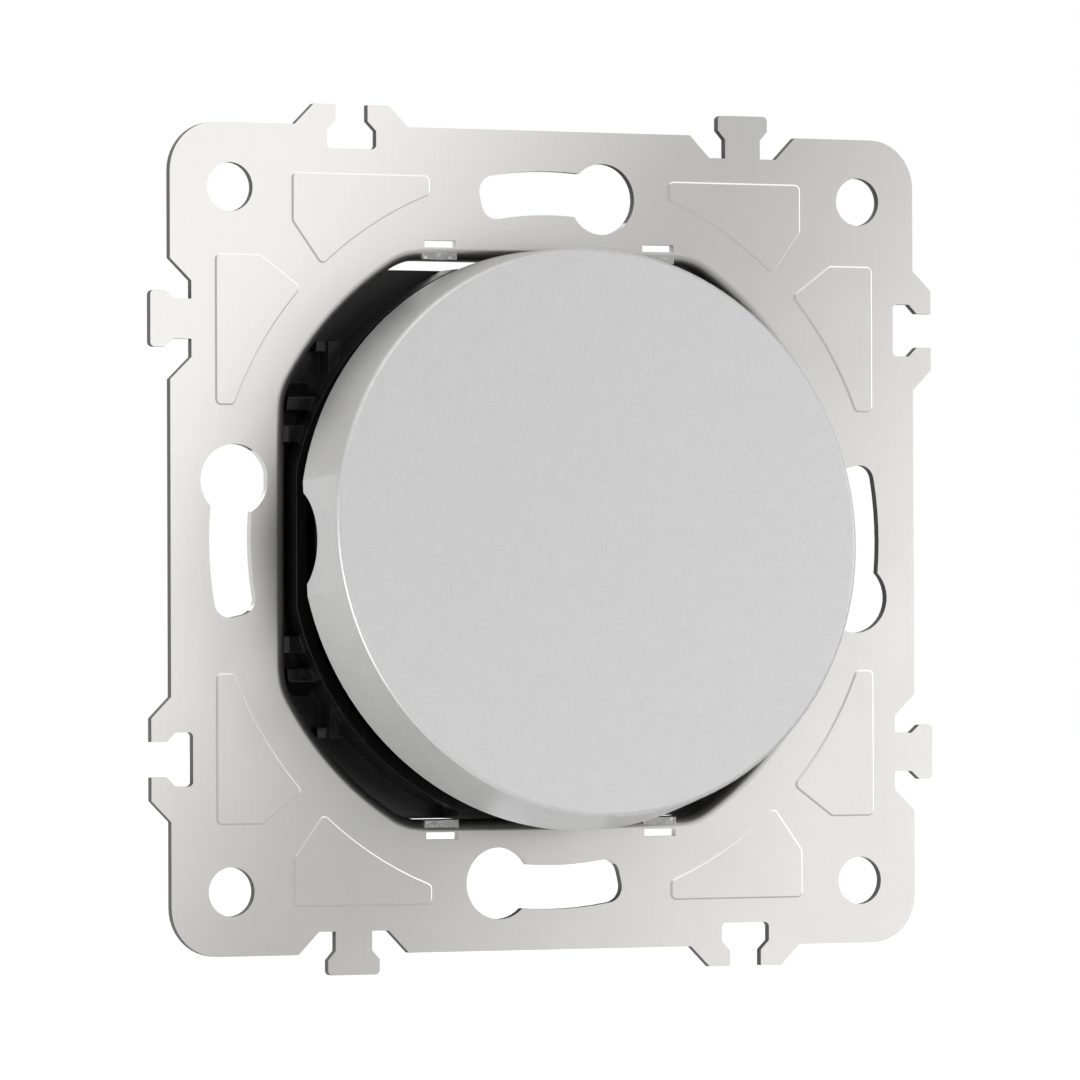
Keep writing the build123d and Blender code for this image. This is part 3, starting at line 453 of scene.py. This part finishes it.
def stamped_metal(name, colour, roughness, grain_mm, strength):
    """Bare or plated metal with a directional stamping or rolling grain."""
    material, tree, shader, coords = new_material(name)
    along = add_node(tree, "ShaderNodeMapping", Vector=coords, Scale=(1, 1, 0.1))
    grain = add_node(
        tree, "ShaderNodeTexNoise", Vector=along.outputs[0], Scale=1 / (grain_mm * MM), Detail=3.0)
    tree.links.new(varied_colour(tree, colour, 0.88, 1.08, grain.outputs[0]), shader.inputs["Base Color"])
    rough = add_node(
        tree, "ShaderNodeMapRange", Value=grain.outputs[0], n1=0.3, n2=0.7, n3=roughness - 0.05,
        n4=roughness + 0.08)
    tree.links.new(rough.outputs[0], shader.inputs["Roughness"])
    bump = add_node(tree, "ShaderNodeBump", Height=grain.outputs[0], Strength=strength, Distance=0.01 * MM)
    tree.links.new(bump.outputs[0], shader.inputs["Normal"])
    shader.inputs["Metallic"].default_value = 1.0
    return material


# Stage

def camera_matrix():
    """The camera's place and turn in metres, from the photograph's viewing angle."""
    azimuth = radians(CAMERA_AZIMUTH)
    elevation = radians(CAMERA_ELEVATION)
    roll = radians(CAMERA_ROLL)
    back = Vector((sin(azimuth) * cos(elevation), -cos(azimuth) * cos(elevation), sin(elevation)))
    right = (-back).cross(Vector((0, 0, 1))).normalized()
    up = right.cross(-back)
    rolled_right = cos(roll) * right + sin(roll) * up
    rolled_up = -sin(roll) * right + cos(roll) * up
    place_mm = back * CAMERA_DISTANCE + right * CAMERA_RIGHT + up * CAMERA_UP + Vector((0, PLATE_FRONT, 0))
    matrix = Matrix((rolled_right, rolled_up, back)).transposed().to_4x4()
    matrix.translation = place_mm * MM
    return matrix


def seen_directly(tree):
    """1 for camera, glossy and transmission rays, else 0."""
    path = add_node(tree, "ShaderNodeLightPath")
    glossy = add_node(
        tree, "ShaderNodeMath", {"operation": "MAXIMUM"}, n0=path.outputs["Is Camera Ray"],
        n1=path.outputs["Is Glossy Ray"])
    both = add_node(
        tree, "ShaderNodeMath", {"operation": "MAXIMUM"}, n0=glossy.outputs[0],
        n1=path.outputs["Is Transmission Ray"])
    return both.outputs[0]


def floor_material(colour):
    """Matt white board: its paper tone takes the shadow, and it is lifted to white where it is seen."""
    material, tree, shader, coords = new_material("matt_white_board")
    fibre_mm = 0.6
    fibre = add_node(tree, "ShaderNodeTexNoise", Vector=coords, Scale=1 / (fibre_mm * MM), Detail=2.0)
    tree.links.new(varied_colour(tree, colour, 0.99, 1.0, fibre.outputs[0]), shader.inputs["Base Color"])
    shader.inputs["Roughness"].default_value = 0.9
    shader.inputs["Specular IOR Level"].default_value = 0.1
    near_lift = 0.5
    far_lift = 0.75
    near_reach = 250 * MM
    far_reach = 1400 * MM
    away = add_node(tree, "ShaderNodeVectorMath", {"operation": "LENGTH"}, n0=coords)
    lift = add_node(
        tree, "ShaderNodeMapRange", Value=away.outputs["Value"], n1=near_reach, n2=far_reach, n3=near_lift,
        n4=far_lift)
    strength = add_node(
        tree, "ShaderNodeMath", {"operation": "MULTIPLY"}, n0=seen_directly(tree), n1=lift.outputs[0])
    shader.inputs["Emission Color"].default_value = (1, 1, 1, 1)
    tree.links.new(strength.outputs[0], shader.inputs["Emission Strength"])
    return material


def add_lamp(name, place_mm, width_mm, height_mm, watts):
    """Add a soft rectangular lamp that faces the origin."""
    bpy.ops.object.light_add(type="AREA", location=Vector(place_mm) * MM)
    lamp = bpy.context.object
    lamp.name = name
    lamp.data.shape = "RECTANGLE"
    lamp.data.size = width_mm * MM
    lamp.data.size_y = height_mm * MM
    lamp.data.energy = watts
    lamp.rotation_euler = (-Vector(place_mm)).to_track_quat("-Z", "Y").to_euler()


class SWITCH_OT_stage(bpy.types.Operator):
    """Set up the floor, the light and the camera"""
    bl_idname = "switch.stage"
    bl_label = "Stage"

    def execute(self, context):
        scene = context.scene
        colours = scene.switch_colours
        sizes = scene.switch_sizes
        deselect_all()
        reach = 6000 * MM
        bpy.ops.mesh.primitive_plane_add(size=2 * reach, location=(0, 0, -sizes.floor_drop))
        floor = context.object
        bpy.ops.object.mode_set(mode="EDIT")
        bpy.ops.mesh.subdivide(number_cuts=7)
        bpy.ops.object.mode_set(mode="OBJECT")
        place(floor)
        floor.name = "floor"
        floor.data.materials.append(floor_material(tuple(colours.floor)))

        world = bpy.data.worlds.new("studio")
        scene.world = world
        world.use_nodes = True
        tree = world.node_tree
        tree.nodes.clear()
        ambient = 0.36
        strength = add_node(tree, "ShaderNodeMapRange", Value=seen_directly(tree), n3=ambient, n4=1.0)
        sky = add_node(tree, "ShaderNodeBackground", Strength=strength.outputs[0], Color=(1, 1, 1, 1))
        add_node(tree, "ShaderNodeOutputWorld", Surface=sky.outputs[0])

        add_lamp("key_lamp", (-60, -420, 420), 420, 300, 0.44)
        add_lamp("fill_lamp", (420, -380, 20), 260, 260, 0.38)
        add_lamp("front_lamp", (60, -480, -40), 400, 140, 0.085)
        add_lamp("side_lamp", (-190, -35, -60), 120, 150, 0.17)
        add_lamp("back_lamp", (-150, 420, 300), 300, 300, 0.5)

        bpy.ops.object.camera_add()
        camera = context.object
        camera.name = "photo_camera"
        camera.matrix_world = camera_matrix()
        camera.data.lens = LENS_MM
        camera.data.sensor_width = SENSOR_MM
        camera.data.sensor_fit = "HORIZONTAL"
        camera.data.clip_start = 10 * MM
        camera.data.clip_end = 100
        scene.camera = camera
        scene.view_settings.view_transform = "Standard"
        return {"FINISHED"}


# Mounting plate

def catch_face(x_side, level, colour):
    """Add the torn face of a lanced catch, between its cut and the collar's opening."""
    span = CATCH_TOP - CATCH_LOW
    depth = (CATCH_FRONT + CATCH_BACK) / 2
    middle = Vector((x_side * CATCH_X, depth, level * (CATCH_LOW + span / 2))) * MM
    deselect_all()
    bpy.ops.mesh.primitive_cube_add(size=MM, location=middle)
    piece = bpy.context.object
    piece.scale = (CATCH_WIDTH, CATCH_BACK - CATCH_FRONT, span)
    place(piece)
    bpy.ops.object.mode_set(mode="EDIT")
    bpy.ops.mesh.select_all(action="SELECT")
    bpy.ops.mesh.subdivide(number_cuts=15)
    bpy.ops.object.mode_set(mode="OBJECT")
    lumps = bpy.data.textures.new("torn_lumps", "CLOUDS")
    lumps.noise_scale = CATCH_LUMP * MM
    apply_modifier(
        piece, "DISPLACE", texture=lumps, texture_coords="GLOBAL", strength=CATCH_TEAR * MM, mid_level=1.0)
    smooth(piece, CATCH_SOFT_ANGLE)
    finish_piece(piece, f"catch_face_{x_side}_{level}", "base", [], [torn_steel(colour)])


class SWITCH_OT_plate(bpy.types.Operator):
    """Finish the stamped and drawn mounting plate"""
    bl_idname = "switch.plate"
    bl_label = "Mounting Plate"

    def execute(self, context):
        colours = context.scene.switch_colours
        sizes = context.scene.switch_sizes
        plate = bench_copy("mounting_strap", sizes.plate_edge)
        sheet = zinc_plated_sheet(tuple(colours.plate))
        edge = sheared_edge(tuple(colours.cut_edge))
        slope = coined_slope_painted_light(tuple(colours.slope))
        finish_piece(
            plate, "mounting_plate_finished", "base", ["mounting_strap"], [sheet, edge, slope])
        for face in plate.data.polygons:
            outside = face.center.xz.length > COLLAR_REACH * MM
            behind_front = face.center.y > EDGE_FRONT * MM
            if outside and behind_front and abs(face.normal.y) < EDGE_LEAN:
                face.material_index = 1
            # Slopes of the coined panels take the material with painted highlight and shade
            elif face.center.y < (PLATE_FRONT - PANEL_START) * MM and abs(face.normal.y) < PANEL_FLAT:
                face.material_index = 2
            else:
                face.material_index = 0
        for x_side in SIDES.values():
            for level in LEVELS.values():
                catch_face(x_side, level, tuple(colours.torn))
        return {"FINISHED"}


# Rocker

class SWITCH_OT_rocker(bpy.types.Operator):
    """Lacquer the rocker's cap and finish its carrier"""
    bl_idname = "switch.rocker"
    bl_label = "Rocker"

    def execute(self, context):
        colours = context.scene.switch_colours
        sizes = context.scene.switch_sizes
        dress_node("rocker_cap", silver_lacquer(tuple(colours.lacquer)))
        carrier = bench_copy("rocker_carrier", sizes.mould_edge)
        finish_piece(
            carrier, "rocker_carrier_finished", "rocker", ["rocker_carrier"],
            [black_moulding("moulded_black_carrier", tuple(colours.carrier), 0.3, 0.7)])
        return {"FINISHED"}


# Mouldings

def lower_lip(piece):
    """Draw the shelf's underside down into a thin lip, which closes the gap under the housing."""
    select_only(piece)
    bpy.ops.object.mode_set(mode="EDIT")

    def on_underside(face):
        level = abs(face.center.z - SHELF_UNDERSIDE * MM) < SHELF_NEAR * MM
        in_front = abs(face.center.y - SHELF_FRONT * MM) < SHELF_REACH * MM
        return level and in_front and face.normal.z < -0.9

    select_faces(piece, on_underside)
    bpy.ops.mesh.extrude_region_move(TRANSFORM_OT_translate={"value": (0, 0, -LIP_DROP * MM)})
    bpy.ops.object.mode_set(mode="OBJECT")
    smooth(piece, FRAME_SOFT_ANGLE)


class SWITCH_OT_mouldings(bpy.types.Operator):
    """Finish the bearing frame and the housing"""
    bl_idname = "switch.mouldings"
    bl_label = "Mouldings"

    def execute(self, context):
        colours = context.scene.switch_colours
        sizes = context.scene.switch_sizes
        bearing = bench_copy("bearing_frame", sizes.mould_edge, segments=5, soft_angle=FRAME_SOFT_ANGLE)
        lower_lip(bearing)
        finish_piece(
            bearing, "bearing_frame_finished", "base", ["bearing_frame"],
            [black_moulding("moulded_black_frame", tuple(colours.frame), 0.26, 0.5)])
        housing = bench_copy("base_housing", sizes.mould_edge)
        finish_piece(
            housing, "base_housing_finished", "base", ["base_housing"],
            [black_moulding("moulded_black_housing", tuple(colours.housing), 0.36, 0.35)])
        return {"FINISHED"}


# Contacts

class SWITCH_OT_contacts(bpy.types.Operator):
    """Finish the plungers, springs, seesaw contacts, strips and terminals"""
    bl_idname = "switch.contacts"
    bl_label = "Contacts and Terminals"

    def execute(self, context):
        colours = context.scene.switch_colours
        acetal = natural_acetal(tuple(colours.acetal))
        brass = stamped_metal("stamped_brass", tuple(colours.brass), 0.3, 0.2, 0.15)
        silver = stamped_metal("headed_silver_alloy", tuple(colours.silver), 0.3, 0.15, 0.1)
        plated = stamped_metal("zinc_plated_steel", tuple(colours.plated), 0.32, 0.2, 0.15)
        wire = stamped_metal("drawn_spring_steel", tuple(colours.spring), 0.25, 0.1, 0.1)
        for side in SIDES:
            dress_node(f"plunger_{side}", acetal)
            dress_node(f"plunger_spring_{side}", wire)
            for part in ("moving_contact", "feed_terminal", "cross_link"):
                dress_node(f"{part}_{side}", brass)
            for part in ("moving_studs", "fixed_studs"):
                dress_node(f"{part}_{side}", silver)
            for level in LEVELS:
                dress_node(f"clamp_plate_{level}_{side}", plated)
                dress_node(f"terminal_screw_{level}_{side}", plated)
        return {"FINISHED"}


class SWITCH_PT_panel(bpy.types.Panel):
    """Lists the steps that build the switch"""
    bl_idname = "SWITCH_PT_panel"
    bl_label = "Intermediate Switch"
    bl_space_type = "VIEW_3D"
    bl_region_type = "UI"
    bl_category = "Switch"

    def draw(self, context):
        for operator in OPERATORS:
            self.layout.operator(operator.bl_idname)
        for group in (context.scene.switch_colours, context.scene.switch_sizes):
            for name in group.__annotations__:
                self.layout.prop(group, name)


OPERATORS = (SWITCH_OT_stage, SWITCH_OT_plate, SWITCH_OT_mouldings, SWITCH_OT_rocker, SWITCH_OT_contacts)
CLASSES = (SwitchColours, SwitchSizes, *OPERATORS, SWITCH_PT_panel)


def register():
    """Register the classes and put the settings on the scene."""
    for entry in CLASSES:
        bpy.utils.register_class(entry)
    bpy.types.Scene.switch_colours = bpy.props.PointerProperty(type=SwitchColours)
    bpy.types.Scene.switch_sizes = bpy.props.PointerProperty(type=SwitchSizes)


def unregister():
    """Take the settings off the scene and unregister the classes."""
    del bpy.types.Scene.switch_sizes
    del bpy.types.Scene.switch_colours
    for entry in reversed(CLASSES):
        bpy.utils.unregister_class(entry)


def main():
    """Build the scene."""
    register()
    bpy.ops.switch.stage()
    bpy.ops.switch.plate()
    bpy.ops.switch.mouldings()
    bpy.ops.switch.rocker()
    bpy.ops.switch.contacts()


if __name__ == "__main__":
    main()
